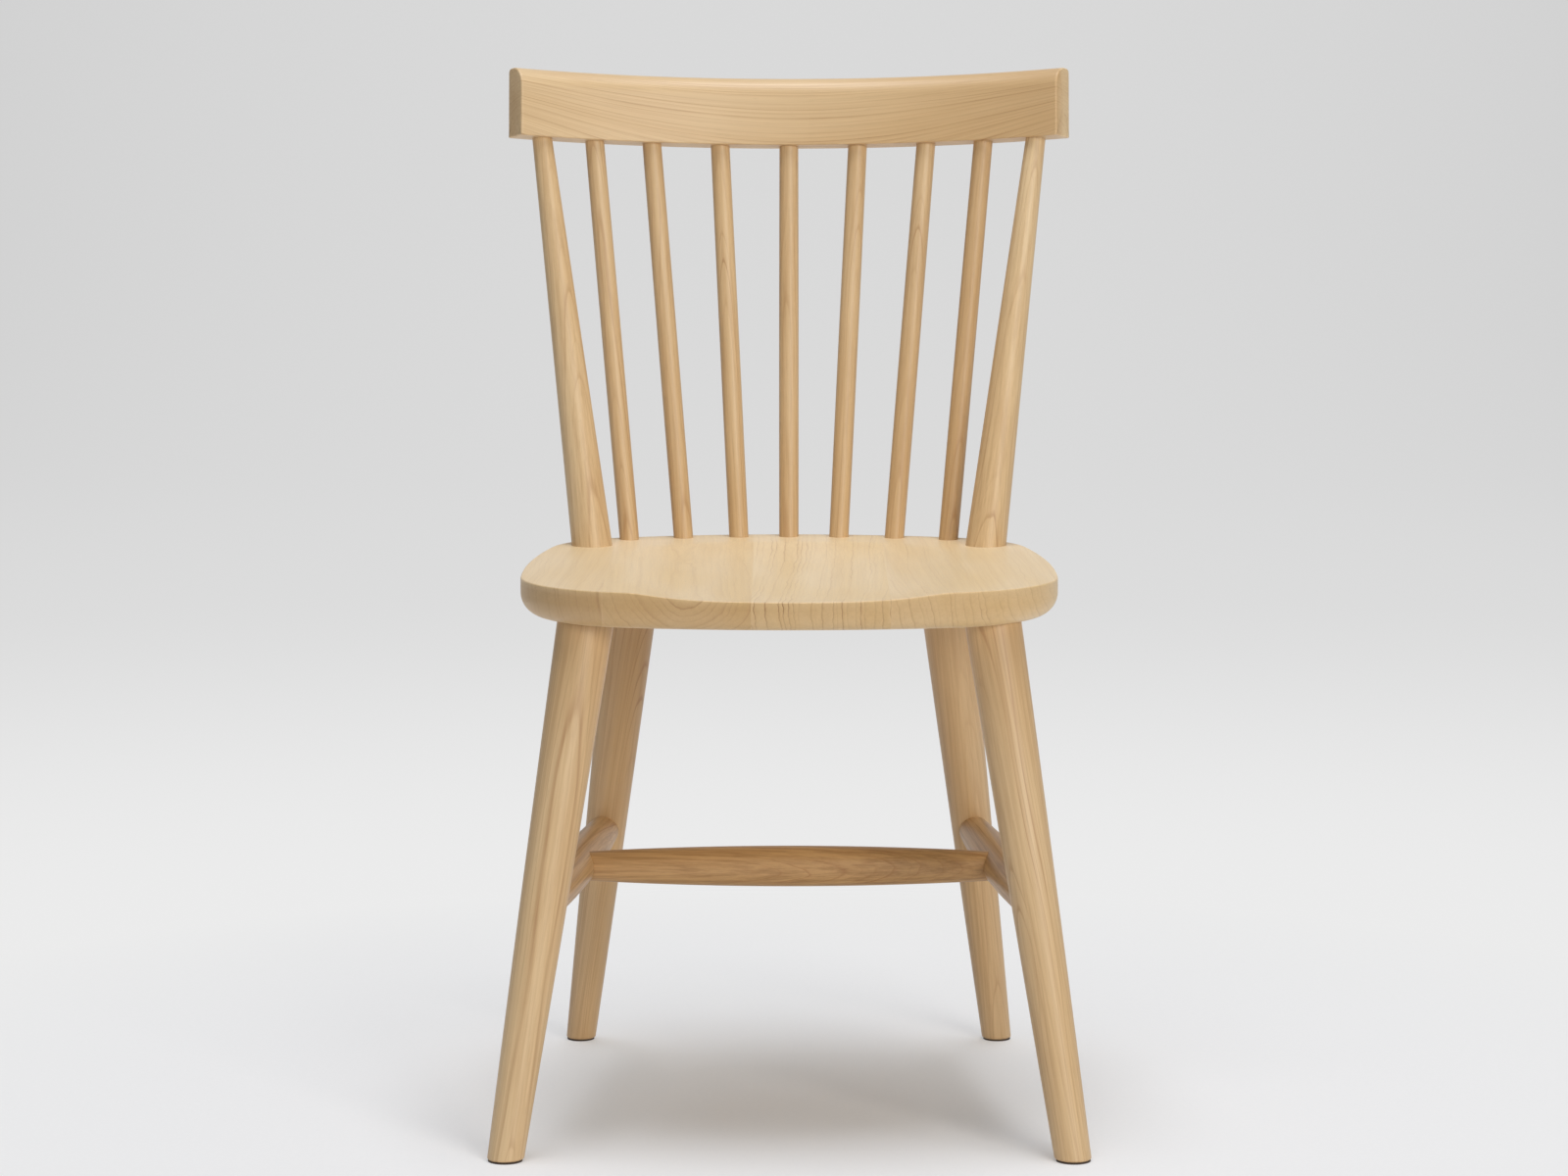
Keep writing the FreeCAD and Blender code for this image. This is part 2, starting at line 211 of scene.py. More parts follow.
def finish_piece(mesh, grain_and_fibre, tone, figure, material, nodes):
    """Gives a mesh its grain, its tone (a number, or a function of the points), its figure, its
    material and smooth shading, and stands it in for its CAD node."""
    grain, fibre = grain_and_fibre
    mesh.update()
    count = len(mesh.vertices)
    points, normals = np.empty(count * 3), np.empty(count * 3)
    mesh.vertices.foreach_get("co", points)
    mesh.vertex_normals.foreach_get("vector", normals)
    points, normals = from_frame(points.reshape(-1, 3)), normals.reshape(-1, 3)
    place = mesh.attributes.new("grain", "FLOAT_VECTOR", "POINT")
    place.data.foreach_set("vector", grain(points).ravel())
    for name, values in (
            ("end_cut", np.abs((normals * fibre(points)).sum(axis=1))),
            ("tone", tone(points) if callable(tone) else np.full(count, float(tone))),
            ("figure", np.full(count, float(figure)))):
        mesh.attributes.new(name, "FLOAT", "POINT").data.foreach_set("value", values)
    mesh.shade_smooth()
    mesh.set_sharp_from_angle(angle=SHARP_ANGLE)
    mesh.materials.append(material)
    piece = show(mesh.name, mesh)
    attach(piece, "root")
    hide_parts(*nodes)
    print(piece.name, len(mesh.polygons), "faces, open edges:", open_edges(mesh))


# %% [markdown]
# ## Colours and shader nodes
# Colours are written as a painter would read them off a screen, as sRGB hex,
# and one function turns them into the linear values that the renderer adds up.
# One more small function adds a shader node, sets it and links it, and another
# gives a material or the world an empty node tree to start from.

# %% Colour and node helpers


def linear(hex_colour):
    """sRGB hex to linear: c / 12.92 up to 0.04045, else ((c + 0.055) / 1.055) to the power 2.4."""
    values = np.array([int(hex_colour[i:i + 2], 16) for i in (1, 3, 5)]) / 255.0
    shades = np.where(values <= 0.04045, values / 12.92, ((values + 0.055) / 1.055) ** 2.4)
    return (*shades.tolist(), 1.0)


def add(tree, kind, inputs=None, output=0, **settings):
    """Adds a node, sets its properties, links or sets its inputs, which are named or numbered, and
    gives back the output that is asked for."""
    made = tree.nodes.new("ShaderNode" + kind)
    for name, value in settings.items():
        setattr(made, name, value)
    for name, value in (inputs or {}).items():
        if isinstance(value, bpy.types.NodeSocket):
            tree.links.new(value, made.inputs[name])
        else:
            made.inputs[name].default_value = value
    return made.outputs[output] if made.outputs else None


def empty_tree(owner):
    """Switches a material or a world to nodes, and clears them."""
    owner.use_nodes = True
    owner.node_tree.nodes.clear()
    return owner.node_tree


print("maple in the light:", [round(c, 3) for c in linear("#E2C79D")[:3]])

# %% [markdown]
# ## Maple under a clear satin lacquer
# The wood is pale and close, like maple or birch. What the eye meets is: thin
# darker lines where one year's growth ends, bending into long nested Vs on a
# turned stick; fine silky streaks along the fibres; a slow drift between warmer
# and paler; and tiny flecks. The lacquer is satin, so it has a soft broad shine.
# Four finishes share this: the lines wave on the seat's broad flat-sawn boards,
# run close on the sticks and long on the rail, and the stretchers are the
# streakiest wood of the chair. Everything in the wood is stretched along the
# grain, so the first step is a set of noise patterns stretched in that way.

# %% Patterns along the grain
SILK = 0.9


def wood_patterns(tree, grain, waves, streak_depth):
    """Noise patterns, each with its waves per mm across and along the grain. Real fibres are a few
    hundredths of a millimetre wide, so silk and fine are drawn coarser, to show. Four of them are
    then sharpened to a share between a least and a most."""
    pattern = {}
    for title, across, along, detail, roughness in (
            ("bend", 0.011, 0.0035, 1.0, 0.5),
            ("wave", 0.07, 0.03 * waves, 2.0, 0.5),
            ("ripple", 0.22, 0.06 * waves, 1.0, 0.5),
            ("patches", 0.03, 0.010, 2.0, 0.5),
            ("streaks", 0.24 + 0.12 * (1 - waves), 0.0028, 4.0, 0.70),
            ("silk", SILK, 0.011, 3.0, 0.6),
            ("fine", 2.6, 0.035, 2.0, 0.6),
            ("flecks", 1.7, 0.06, 1.0, 0.5),
            ("drift", 0.018, 0.004, 2.0, 0.5)):
        place = add(tree, "VectorMath", {0: grain, 1: (across, across, along)},
                    operation="MULTIPLY")
        pattern[title] = add(tree, "TexNoise", {"Vector": place, "Scale": 1.0, "Detail": detail,
                                                "Roughness": roughness})
    for title, low, high, least, most in (
            ("patches", 0.35, 0.65, 0.45, 1.0),
            ("streaks", 0.36, 0.70, 0.0, streak_depth),
            ("flecks", 0.66, 0.74, 0.0, 1.0),
            ("drift", 0.27, 0.73, 0.0, 1.0)):
        pattern[title] = add(tree, "MapRange", {"Value": pattern[title], "From Min": low,
                                                "From Max": high, "To Min": least,
                                                "To Max": most}, interpolation_type="SMOOTHSTEP")
    return pattern


print("a wave of silk is %.1f mm wide" % (1 / SILK))

# %% [markdown]
# ## Growth lines
# A tree lays down one ring a year, pale in spring and darker until autumn, and
# stops: that edge is the thin dark line. The rings are drawn from the distance
# to the tree's middle, warped by slow noise. Years differ, so some rings are
# wide and some narrow, and some leave a stronger line than others.

# %% Growth lines
HEIGHT_TAPER = 0.012
GOOD_YEARS, YEAR_SPREAD = 0.37, 2.4


def ring_distance(tree, grain, pattern, waves):
    """Distance from the tree's middle in mm. The tree is never quite round or straight: it has slow
    bends of some 5 mm, and small waves of a millimetre or two. It is thinner higher up, so the
    rings close in a little with height."""
    bent = grain
    for title, reach in (("bend", 14.0 + 10.0 * waves), ("wave", 1.2 + 3.6 * waves),
                         ("ripple", 1.6 * waves)):
        noise_colour = pattern[title].node.outputs["Color"]
        centred = add(tree, "VectorMath", {0: noise_colour, 1: (0.5, 0.5, 0.5)},
                      operation="SUBTRACT")
        bent = add(tree, "VectorMath", {0: centred, 1: (reach, reach, 0.0), 2: bent},
                   operation="MULTIPLY_ADD")
    flat = add(tree, "VectorMath", {0: bent, 1: (1.0, 1.0, 0.0)}, operation="MULTIPLY")
    from_heart = add(tree, "VectorMath", {0: flat}, output="Value", operation="LENGTH")
    height = add(tree, "SeparateXYZ", {0: grain}, output="Z")
    return add(tree, "Math", {0: height, 1: HEIGHT_TAPER, 2: from_heart},
               operation="MULTIPLY_ADD")


def growth_lines(tree, distance, rings_mm):
    """0 between the lines, up to 1 on a line. Each year darkens slowly, by 0.22, and ends in a thin
    dark line, and the line of the weakest year is 0.2 as strong as that of the strongest."""
    years = add(tree, "Math", {0: distance, 1: rings_mm}, operation="DIVIDE")
    decades = add(tree, "Math", {0: years, 1: GOOD_YEARS}, operation="MULTIPLY")
    weather = add(tree, "TexNoise", {"W": decades, "Scale": 1.0, "Detail": 1.0},
                  noise_dimensions="1D")
    years = add(tree, "Math", {0: weather, 1: YEAR_SPREAD, 2: years}, operation="MULTIPLY_ADD")
    in_year = add(tree, "Math", {0: years}, operation="FRACT")
    bands = []
    for start, peak in ((0.74, 0.93), (0.15, 0.92)):
        rise = add(tree, "MapRange", {"Value": in_year, "From Min": start, "From Max": peak},
                   interpolation_type="SMOOTHSTEP")
        fall = add(tree, "MapRange", {"Value": in_year, "From Min": peak, "To Min": 1.0,
                                      "To Max": 0.0}, interpolation_type="SMOOTHSTEP")
        bands.append(add(tree, "Math", {0: rise, 1: fall}, operation="MULTIPLY"))
    thin, broad = bands
    lines = add(tree, "Math", {0: broad, 1: 0.22, 2: thin}, operation="MULTIPLY_ADD")
    whole_year = add(tree, "Math", {0: years}, operation="FLOOR")
    luck = add(tree, "TexWhiteNoise", {"W": whole_year}, noise_dimensions="1D")
    vigour = add(tree, "MapRange", {"Value": luck, "To Min": 0.2})
    return add(tree, "Math", {0: lines, 1: vigour}, operation="MULTIPLY")


print("the rings close in by %.0f mm in a metre of height" % (1000 * HEIGHT_TAPER))

# %% [markdown]
# ## The maple itself
# The colours are laid over one another as glazes are: a share of each new one
# hides what is under it. Then cut ends are tinted, and silk, fine grain and
# flecks lighten or darken the whole. The lacquer is a thin coat, and the fibres
# just stand through it.

# %% The maple material
GROWTH_LINE = "#985F2E"


def maple(name, pale, warm, deep, streak, end_tint, rings_mm, side_lines, end_lines, streak_depth,
          waves):
    """Growth lines over streaked wood that drifts from pale to warm, and goes over to deep with the
    tone of its piece; where that tone is painted shade, deep is the colour of that shade.
    side_lines and end_lines say how dark the lines are along the fibres and on cut ends, and waves
    says how much they wander."""
    material = bpy.data.materials.new(name)
    tree = empty_tree(material)
    grain = add(tree, "Attribute", output="Vector", attribute_name="grain")
    end_cut = add(tree, "Attribute", output="Fac", attribute_name="end_cut")
    tone = add(tree, "Attribute", output="Fac", attribute_name="tone")
    figure = add(tree, "Attribute", output="Fac", attribute_name="figure")
    pattern = wood_patterns(tree, grain, waves, streak_depth)

    lines = growth_lines(tree, ring_distance(tree, grain, pattern, waves), rings_mm)
    strength = add(tree, "Math", {0: end_cut, 1: end_lines - side_lines, 2: side_lines},
                   operation="MULTIPLY_ADD")
    for weight in (strength, pattern["patches"], figure):
        lines = add(tree, "Math", {0: lines, 1: weight}, operation="MULTIPLY")

    wood = linear(pale)
    for share, tint in ((pattern["drift"], warm), (tone, deep), (pattern["streaks"], streak),
                        (lines, GROWTH_LINE)):
        wood = add(tree, "Mix", {0: share, 6: wood, 7: linear(tint)}, output=2, data_type="RGBA")
    wood = add(tree, "Mix", {0: end_cut, 6: wood, 7: linear(end_tint)}, output=2,
               data_type="RGBA", blend_type="MULTIPLY")
    for title, change, rest in (("silk", 0.14, 0.93), ("fine", 0.12, 0.94), ("flecks", -0.08, 1.0)):
        shade = add(tree, "Math", {0: pattern[title], 1: change, 2: rest},
                    operation="MULTIPLY_ADD")
        wood = add(tree, "VectorMath", {0: wood, "Scale": shade}, operation="SCALE")

    rough = add(tree, "Math", {0: pattern["silk"], 1: 0.10, 2: 0.42}, operation="MULTIPLY_ADD")
    relief = add(tree, "Math", {0: pattern["silk"], 1: pattern["fine"]}, operation="ADD")
    bump = add(tree, "Bump", {"Height": relief, "Strength": 0.05, "Distance": 0.0004})
    satin = add(tree, "BsdfPrincipled", {"Base Color": wood, "Roughness": rough, "Normal": bump,
                                         "IOR": 1.5, "Coat Weight": 0.14, "Coat Roughness": 0.36})
    add(tree, "OutputMaterial", {"Surface": satin})
    return material


seat_maple = maple(
    "seat_maple_satin_lacquer", "#F0DAB4", "#EACF9F", "#CBA878", "#A87C4C", "#E8DDCA",
    rings_mm=5.6, side_lines=0.30, end_lines=0.85, streak_depth=0.10, waves=1.0)
turned_maple = maple(
    "turned_maple_satin_lacquer", "#E8CEA4", "#DFC194", "#BC925E", "#A87C4C", "#E8DDCA",
    rings_mm=2.3, side_lines=0.70, end_lines=0.6, streak_depth=0.32, waves=0.12)
# On the stretchers, whose tones are near 1, the deep colour is painted shade.
bar_maple = maple(
    "stretcher_maple_satin_lacquer", "#E8CEA4", "#DFC194", "#C69D69", "#8F6539", "#E8DDCA",
    rings_mm=2.3, side_lines=0.80, end_lines=0.6, streak_depth=0.62, waves=0.40)
rail_maple = maple(
    "rail_maple_satin_lacquer", "#E9D0A7", "#DFC398", "#C0955C", "#A87C4C", "#FFFFFF",
    rings_mm=4.2, side_lines=0.62, end_lines=0.4, streak_depth=0.20, waves=0.2)
print("made", seat_maple.name, turned_maple.name, bar_maple.name, rail_maple.name)

# %% [markdown]
# ## The seat's outline
# The seat is wider than it is deep, with a long arc on each side, a flatter one
# in front, a rounder one behind, and two corner arcs on each side that join
# them smoothly. A maker would draw it with a compass, so it is sampled from the
# same arcs, with the direction that points out of the seat at each place.

# %% Outline arcs
SIDE_RADIUS, FRONT_RADIUS, BACK_RADIUS = 900.0, 600.0, 450.0
FRONT_CORNER, BACK_CORNER = 105.0, 90.0
WIDEST_Y = SEAT_FRONT + 140.0
side_centre = np.array([SEAT_WIDTH / 2 - SIDE_RADIUS, WIDEST_Y])
front_centre = np.array([0.0, SEAT_FRONT + FRONT_RADIUS])
back_centre = np.array([0.0, SEAT_BACK - BACK_RADIUS])


def corner_centre(other, other_radius, corner_radius, side):
    """Centre of a corner arc that touches the side arc and another arc from inside: it lies at the
    difference of the radii from both centres, where those two circles cross."""
    apart = other - side_centre
    length = np.linalg.norm(apart)
    reach_a, reach_b = SIDE_RADIUS - corner_radius, other_radius - corner_radius
    foot = (length ** 2 + reach_a ** 2 - reach_b ** 2) / (2 * length)
    rise = math.sqrt(reach_a ** 2 - foot ** 2)
    step = apart / length
    return side_centre + step * foot + np.array([-step[1], step[0]]) * rise * side


def arc(centre, radius, start, end, count):
    """Points and outward directions along an arc: centre + radius * (cos a, sin a)."""
    angles = np.linspace(start, end, count, endpoint=False)
    out = np.stack([np.cos(angles), np.sin(angles)], axis=1)
    return centre + radius * out, out


def bearing(start, end):
    """The angle of the line from start to end."""
    return math.atan2(end[1] - start[1], end[0] - start[0])


front_corner_centre = corner_centre(front_centre, FRONT_RADIUS, FRONT_CORNER, -1)
back_corner_centre = corner_centre(back_centre, BACK_RADIUS, BACK_CORNER, 1)
turn_1 = bearing(front_centre, front_corner_centre)
turn_2 = bearing(side_centre, front_corner_centre)
turn_3 = bearing(side_centre, back_corner_centre)
turn_4 = bearing(back_centre, back_corner_centre)
arcs = [
    arc(front_centre, FRONT_RADIUS, -math.pi / 2, turn_1, 44),
    arc(front_corner_centre, FRONT_CORNER, turn_1, turn_2, 34),
    arc(side_centre, SIDE_RADIUS, turn_2, turn_3, 40),
    arc(back_corner_centre, BACK_CORNER, turn_3, turn_4, 34),
    arc(back_centre, BACK_RADIUS, turn_4, math.pi / 2, 40),
]
right_half = np.concatenate([points for points, out in arcs])
right_out = np.concatenate([out for points, out in arcs])
flip = np.array([-1.0, 1.0])
outline = np.concatenate([right_half, [[0.0, SEAT_BACK]], right_half[:0:-1] * flip])
outward = np.concatenate([right_out, [[0.0, 1.0]], right_out[:0:-1] * flip])
print("outline of", len(outline), "points, %.0f mm round" % np.linalg.norm(
    np.roll(outline, -1, axis=0) - outline, axis=1).sum())

# %% [markdown]
# ## The saddled seat
# The scoop is deepest a little behind the middle, rises with the cube of the
# distance from there, and runs out through the front edge, which is why that
# edge dips in a shallow wave. On the bench it is cut with a travisher and then
# sanded, so its rim is soft. The edge keeps a crisp top arris of about a
# millimetre and a half, a straight band, and a long roll underneath.

# %% Height of the seat's top, and its rings
DISH_DEPTH, DISH_AT_FRONT = 10.0, 6.0
DEEPEST_BEHIND_FRONT, DIP_HALF_WIDTH, REAR_RIM = 210.0, 118.0, 55.0
DISH_Y = SEAT_FRONT + DEEPEST_BEHIND_FRONT
DISH_SIDE = DIP_HALF_WIDTH / (DISH_AT_FRONT / DISH_DEPTH) ** (1 / 3)
DISH_FRONT = DEEPEST_BEHIND_FRONT / (1 - DISH_AT_FRONT / DISH_DEPTH) ** (1 / 3)
DISH_BACK = SEAT_BACK - REAR_RIM - DISH_Y
RIM_SOFTNESS = 1.6
ARRIS = 1.4


def top_height(x, y):
    """The lower of the flat top and the scoop 450 - 10 * (1 - |x/a|^3 - |y/b|^3), blended where
    they meet."""
    reach = np.where(y < DISH_Y, DISH_FRONT, DISH_BACK)
    rise = np.abs(x / DISH_SIDE) ** 3, np.abs((y - DISH_Y) / reach) ** 3
    scoop = SEAT_HEIGHT - DISH_DEPTH * (1 - rise[0] - rise[1])
    share = np.clip(0.5 + 0.5 * (scoop - SEAT_HEIGHT) / RIM_SOFTNESS, 0, 1)
    return scoop + (SEAT_HEIGHT - scoop) * share - RIM_SOFTNESS * share * (1 - share)


def inset_ring(inset):
    """The outline moved in by inset, along its own outward direction."""
    return outline - outward * inset


def seat_rings():
    """Rings of the seat: out over the top, round the arris, down the band, under the roll, and
    in. They stand closer near the edge."""
    edge = inset_ring(ARRIS)
    shares = np.concatenate([np.linspace(0.02, 0.9, 56), 1 - np.geomspace(0.09, 0.002, 14), [1.0]])
    top = shares[:, None, None] * edge
    rings = [np.dstack([top, top_height(top[..., 0], top[..., 1])])]
    rim = top_height(edge[:, 0], edge[:, 1])
    turns = np.radians([18, 36, 54, 72, 90])[:, None]
    arris_xy = outline - outward * (ARRIS * (1 - np.sin(turns)))[..., None]
    rings.append(np.dstack([arris_xy, rim - ARRIS * (1 - np.cos(turns))]))
    band = np.array([0.03, 0.35, 0.68, 0.97, 1.0])[:, None]
    wall = (rim - ARRIS) * (1 - band) + (UNDERSIDE + ROLL) * band
    rings.append(np.dstack([np.broadcast_to(outline, (len(band), *outline.shape)), wall]))
    turns = np.radians(np.linspace(5, 90, 18))[:, None]
    roll_xy = outline - outward * (ROLL * (1 - np.cos(turns)))[..., None]
    roll_z = np.broadcast_to(UNDERSIDE + ROLL * (1 - np.sin(turns)), roll_xy.shape[:2])
    rings.append(np.dstack([roll_xy, roll_z]))
    shares = np.array([0.995, 0.9, 0.7, 0.45, 0.2, 0.02])
    under = shares[:, None, None] * inset_ring(ROLL)
    rings.append(np.dstack([under, np.full(under.shape[:2], UNDERSIDE)]))
    return np.concatenate(rings)


seat_shell = stack_mesh("seat_shell", seat_rings())
print("seat shell:", len(seat_shell.polygons), "faces")

# %% [markdown]
# ## Four boards, one seat
# The seat is glued up from four boards, and each was cut from another part of a
# tree: on the front edge the rings stand nearly upright in one board, hang in
# nested bows in the next and slant in the third. So the shell is sliced at the
# glue joints, each slice is closed, and each gets its own tree.

# %% Slice the shell into boards
FAR = 999.0
JOINTS = (-148.0, -30.0, 80.0)
TOP_LAYER = 6.0


def smooth_step(share):
    """From 0 to 1 with level ends: s * s * (3 - 2 * s)."""
    return share ** 2 * (3 - 2 * share)


def board(name, left, right, heart, lean, start, tone, edge_shade_tone, figure):
    """The slice of the seat between two upright planes, closed at its cuts. heart is how far right
    of the seat's middle and how high the tree's middle lies, and lean is how far the fibres run
    off to the right. Its tone goes over to a darker edge tone by a smooth step in the top 6 mm,
    so its sides and underside are painted darker, as shade."""

    # Painted shade: below the top 6 mm the board's tone goes over to its darker edge tone.
    def tone_with_edge_shade(points):
        depth = top_height(points[:, 0], points[:, 1]) - points[:, 2]
        return tone + (edge_shade_tone - tone) * smooth_step(np.clip(depth / TOP_LAYER, 0, 1))

    slab = bmesh.new()
    slab.from_mesh(seat_shell)
    for place, side in ((left, -1), (right, 1)):
        if abs(place) < FAR:
            everything = slab.verts[:] + slab.edges[:] + slab.faces[:]
            cut = bmesh.ops.bisect_plane(slab, geom=everything, plane_co=(place * MM, 0, 0),
                                         plane_no=(side, 0, 0), clear_outer=True)
            rim = [item for item in cut["geom_cut"] if isinstance(item, bmesh.types.BMEdge)]
            bmesh.ops.contextual_create(slab, geom=rim)
    bmesh.ops.recalc_face_normals(slab, faces=slab.faces)
    mesh = bpy.data.meshes.new(name.replace("seat_board", "seat"))
    slab.to_mesh(mesh)
    slab.free()
    grain = straight_grain((lean, 1, 0), (0, 0, 1), (-heart[0], heart[1]), start)
    finish_piece(mesh, grain, tone_with_edge_shade, figure, seat_maple, [name])


# The edge tones are painted shade on the sides and underside, darkest on the left board, away from
# the front lamp.
board("seat_board_outer_left", -FAR, JOINTS[0], heart=(-600.0, 370.0), lean=0.05, start=300.0,
      tone=0.22, edge_shade_tone=0.70, figure=0.40)
board("seat_board_inner_left", JOINTS[0], JOINTS[1], heart=(-90.0, 466.0), lean=-0.02,
      start=900.0, tone=0.16, edge_shade_tone=0.50, figure=0.42)
board("seat_board_middle", JOINTS[1], JOINTS[2], heart=(395.0, 430.0), lean=0.02, start=1500.0,
      tone=0.06, edge_shade_tone=0.20, figure=0.95)
board("seat_board_right", JOINTS[2], FAR, heart=(430.0, 510.0), lean=-0.05, start=2300.0,
      tone=0.12, edge_shade_tone=0.20, figure=0.55)

# %% [markdown]
# ## Turned sticks
# Legs, stretchers, spindles and posts all come off a lathe, so each is a radius
# that changes along an axis. What differs is how the ends meet their
# neighbours: a spindle is trimmed by the seat's flat top, a leg's head follows
# the roll under the seat, and a stretcher is hollowed to sit on a round leg. So
# for each of 72 lines along the stick, the place where it meets its neighbour
# is searched for by halving, all lines at once.

# %% The general stick
AROUND, ROWS = 72, 48
HALVINGS = 36  # 100 mm halved so often is a few billionths of a millimetre
SEARCH = 60.0  # how far in from its ends a stick is searched for its neighbour
ACROSS_ALL = (0.3, -0.9, 0.1)  # a direction that no stick runs along


class Stick:
    """An axis from low to high in mm, and a radius as a function of the share of the way."""

    def __init__(self, low, high, radius):
        self.low, self.high = np.array(low, float), np.array(high, float)
        self.length = np.linalg.norm(self.high - self.low)
        self.along = (self.high - self.low) / self.length
        self.radius = radius
        side = unit(np.cross(self.along, ACROSS_ALL))
        front = np.cross(self.along, side)
        angles = np.linspace(0, 2 * np.pi, AROUND, endpoint=False)[:, None]
        self.out = side * np.cos(angles) + front * np.sin(angles)

    def skin(self, distance, inset=0.0):
        """Points on the stick: axis point at this distance, plus (radius - inset) times the
        direction out."""
        distance = np.broadcast_to(distance, (AROUND,))
        reach = self.radius(distance / self.length) - inset
        return self.low + distance[:, None] * self.along + reach[:, None] * self.out

    def meets(self, clearance, inside, outside, inset=0.0):
        """Halving: clearance(points) is under 0 within the neighbour and over 0 outside it."""
        near = np.full(AROUND, float(inside))
        far = np.full(AROUND, float(outside))
        for _ in range(HALVINGS):
            middle = (near + far) / 2
            within = clearance(self.skin(middle, inset)) < 0
            near, far = np.where(within, middle, near), np.where(within, far, middle)
        return (near + far) / 2

    def clear_of(self, points):
        """How far points are outside this stick: distance from its axis, less its radius there."""
        share = np.clip((points - self.low) @ self.along / self.length, 0, 1)
        axis = self.low + (share * self.length)[:, None] * self.along
        return np.linalg.norm(points - axis, axis=1) - self.radius(share)


def tapered(low, high, swell):
    """A radius that goes straight from low to high, plus 4 * swell * s * (1 - s) in between."""
    return lambda s: low + (high - low) * s + 4 * swell * s * (1 - s)


def stick_grain(stick, turn, aside, away, slope, start):
    """Grain of a stick. turn is where the bark was, in radians round the stick from the camera's
    side; the tree's middle lies aside mm across and away mm behind the stick's own; and the fibres
    climb toward the bark by slope."""
    facing = np.array([math.sin(turn), -math.cos(turn), 0.0])
    up = unit(facing - (facing @ stick.along) * stick.along)
    middle = (stick.low + stick.high) / 2
    heart = (middle @ unit(np.cross(up, stick.along)) + aside, middle @ up - away)
    return straight_grain(stick.along + slope * up, up, heart, start)


def between(stick, start, end):
    """Rings from start to end, which are distances along the axis for each line round the stick.
    They stand closer near both ends, as (1 - cos) / 2."""
    shares = (1 - np.cos(np.linspace(0, np.pi, ROWS))) / 2
    return [stick.skin(start + (end - start) * share) for share in shares]


def plane_clear(point, normal):
    """Distance in front of a plane through point."""
    point, normal = np.array(point, float), unit(normal)
    return lambda points: (points - point) @ normal


print("sticks have", AROUND, "lines round them and", ROWS, "rings")

# %% [markdown]
# ## Legs
# Each leg is a plain taper, thick under the seat and slim at the floor, sawn
# level at the foot with a small rounded edge. Its head runs up into the rolled
# underside of the seat. Toward its head the wood is painted browner, as the
# seat's shade.

# %% Four legs
GLIDE = 1.5
FOOT_EDGE = 1.6
LEG_SWELL = 0.35
FRONT_LEG = ((225.0, -216.5), (162.5, -129.5), tapered(14.5, 22.7, LEG_SWELL))  # foot, top, radius
REAR_LEG = ((183.0, 227.5), (131.0, 130.5), tapered(12.6, 21.9, LEG_SWELL))
# Painted shade: from 300 mm up to 410 mm the legs' tone rises by 0.25, as the seat shades them.
SEAT_SHADE_FROM, SEAT_SHADE_TO, SEAT_SHADE_BY = 300.0, 410.0, 0.25


def tone_with_seat_shade(tone):
    """A tone that grows along a straight slope between two heights, toward the seat: painted shade
    under the seat.
    """
    return lambda points: tone + SEAT_SHADE_BY * np.clip(
        (points[:, 2] - SEAT_SHADE_FROM) / (SEAT_SHADE_TO - SEAT_SHADE_FROM), 0, 1)


def seat_clear(points):
    """How far points are below the seat's underside: the flat, or the quarter-round roll near
    the edge."""
    gaps = np.linalg.norm(points[:, None, :2] - outline[None], axis=2)
    inward = gaps.min(axis=1)
    bend = np.clip(ROLL - inward, 0, ROLL)
    underside = UNDERSIDE + ROLL - np.sqrt(ROLL ** 2 - bend ** 2)
    return underside - points[:, 2]


legs = {}
# The rear legs' higher tones, 0.52 and 0.40, are painted shade, for they stand back under the seat.
for name, side, (foot, top, radius), turn, tone in (
        ("front_leg_left", -1, FRONT_LEG, 0.15, 0.22),
        ("front_leg_right", 1, FRONT_LEG, -0.9, 0.26),
        ("rear_leg_left", -1, REAR_LEG, 1.0, 0.52),
        ("rear_leg_right", 1, REAR_LEG, 0.3, 0.40)):
    stick = Stick((side * foot[0], foot[1], 0), (side * top[0], top[1], UNDERSIDE), radius)
    legs[name] = stick
    rings = []
    for quarter in np.radians([0, 22, 44, 66, 90]):
        inset = FOOT_EDGE * (1 - math.sin(quarter))
        height = GLIDE + FOOT_EDGE * (1 - math.cos(quarter))
        at = stick.meets(plane_clear((0, 0, height), (0, 0, 1)), -30, SEARCH, inset)
        rings.append(stick.skin(at, inset))
    head = stick.meets(seat_clear, stick.length + 30, stick.length - SEARCH)
    rings += between(stick, at + 0.5, head)
    mesh = stack_mesh(name.replace("leg", "turned_leg"), rings)
    grain = stick_grain(stick, turn, aside=2.0, away=46.0, slope=0.045, start=700.0 * len(legs))
    finish_piece(mesh, grain, tone_with_seat_shade(tone), 0.7, turned_maple, [name])

# %% [markdown]
# ## Stretchers
# The H stretcher keeps the legs from spreading. Its bars swell to the middle,
# where the cross bar needs wood for its joint. Each end is hollowed to sit on
# the round leg, so the search runs against the leg's own skin. Their high tone
# is painted shade, for they stand under the seat.

# %% Two side stretchers and the cross stretcher
STRETCHER_HEIGHT = 196.0
SIDE_BAR, CROSS_BAR = tapered(12.4, 12.4, 4.5), tapered(11.6, 11.6, 5.25)


def on_axis(stick, height):
    """Where a leg's axis passes this height."""
    share = (height - stick.low[2]) / (stick.high[2] - stick.low[2])
    return stick.low + (stick.high - stick.low) * share


